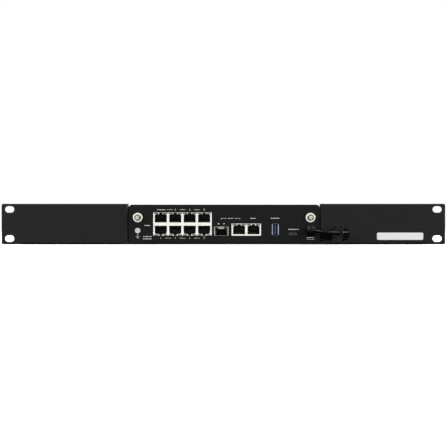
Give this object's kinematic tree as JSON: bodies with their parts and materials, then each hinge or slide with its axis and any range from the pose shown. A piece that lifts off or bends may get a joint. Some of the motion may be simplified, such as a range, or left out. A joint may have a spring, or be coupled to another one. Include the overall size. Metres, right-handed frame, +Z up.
{
  "type": "firewall appliance",
  "caption": "Black one-unit rack tray that carries a desktop firewall, ports forward between two wings, with its power adapter behind one wing.",
  "frame": {"origin": "centre of the rack slots, on the rear face of the ears", "axes": "+X to the right seen from the front, +Y to the back of the rack, +Z up"},
  "size_m": [0.4826, 0.2595, 0.044],
  "materials": {
    "powder_coat": "fine-textured matte black powder coat on folded steel",
    "bracket_black": "matte black powder coat",
    "zinc_screw": "bright zinc plate",
    "foam": "closed-cell foam",
    "label_white": "blank white vinyl",
    "case_paint": "satin black paint with a fine texture",
    "galvanised_steel": "bright zinc-coated sheet",
    "bezel_plastic": "fine-textured moulded plastic",
    "light_pipe": "translucent acrylic, unlit",
    "nickel_shell": "bright nickel plate",
    "cage_steel": "dull nickel plate",
    "jack_plastic": "black moulded plastic",
    "blue_plastic": "blue moulded plastic",
    "gold_contacts": "gold flash",
    "brass_pin": "bare brass",
    "gilt_brass": "pale gilt plate",
    "white_insulator": "off-white moulded plastic",
    "red_button": "red moulded plastic",
    "switch_plastic": "black moulded plastic",
    "green_board": "solder-masked circuit board",
    "chip_black": "epoxy chip package",
    "heatsink_aluminium": "extruded aluminium",
    "capacitor_can": "sleeved aluminium can",
    "cell_steel": "stainless cell in a black holder",
    "adapter_plastic": "fine-textured black polycarbonate",
    "soft_black": "soft black cable plastic"
  },
  "bodies": {
    "tray_and_case": {"rack_tray": "powder_coat", "left_guide_bracket": "bracket_black", "right_guide_bracket": "bracket_black", "rear_stop_bracket": "bracket_black", "adapter_clamp": "bracket_black", "bracket_screws": "zinc_screw", "case_side_screws": "zinc_screw", "foam_pads": "foam", "front_label": "label_white", "port_panel": "case_paint", "case_base": "galvanised_steel", "case_cover": "case_paint", "case_bezel": "bezel_plastic", "status_lights": "light_pipe", "cover_screws": "zinc_screw", "lan_jack_shield": "nickel_shell", "lan_jack_insert": "jack_plastic", "uplink_jack_shield": "nickel_shell", "uplink_jack_insert": "jack_plastic", "jack_contacts": "gold_contacts", "jack_light_windows": "light_pipe", "module_cage": "cage_steel", "module_connector": "jack_plastic", "data_port_shell": "nickel_shell", "data_port_tongue": "blue_plastic", "console_port_shell": "nickel_shell", "console_port_tongue": "jack_plastic", "power_jack": "jack_plastic", "power_jack_pin": "brass_pin", "aerial_jacks": "gilt_brass", "aerial_nuts": "gilt_brass", "aerial_washers": "nickel_shell", "aerial_insulators": "white_insulator", "earth_screw": "nickel_shell", "earth_washer": "nickel_shell", "button_switches": "switch_plastic", "main_board": "green_board", "board_standoffs": "brass_pin", "board_screws": "zinc_screw", "processor": "chip_black", "heatsink": "heatsink_aluminium", "memory_chips": "chip_black", "jack_transformers": "chip_black", "capacitors": "capacitor_can", "power_inductors": "chip_black", "radio_card": "green_board", "coin_cell": "cell_steel", "adapter_lower_shell": "adapter_plastic", "adapter_upper_shell": "adapter_plastic", "adapter_innards": "green_board", "adapter_inlet": "adapter_plastic", "inlet_blades": "brass_pin", "lead_bracket": "bracket_black", "lead_bushing": "soft_black", "lead_boot": "soft_black", "power_lead": "soft_black", "power_plug": "soft_black", "plug_barrel": "nickel_shell"},
    "reset_plunger": {"reset_button": "red_button"},
    "defaults_plunger": {"defaults_button": "white_insulator"}
  },
  "joints": [
    {"name": "reset_press", "type": "slide", "parent": "tray_and_case", "child": "reset_plunger", "axis": [0, 1, 0], "range_m": [0, 0.0005], "stiffness_N_per_m": 500},
    {"name": "defaults_press", "type": "slide", "parent": "tray_and_case", "child": "defaults_plunger", "axis": [0, 1, 0], "range_m": [0, 0.0005], "stiffness_N_per_m": 500}
  ]
}
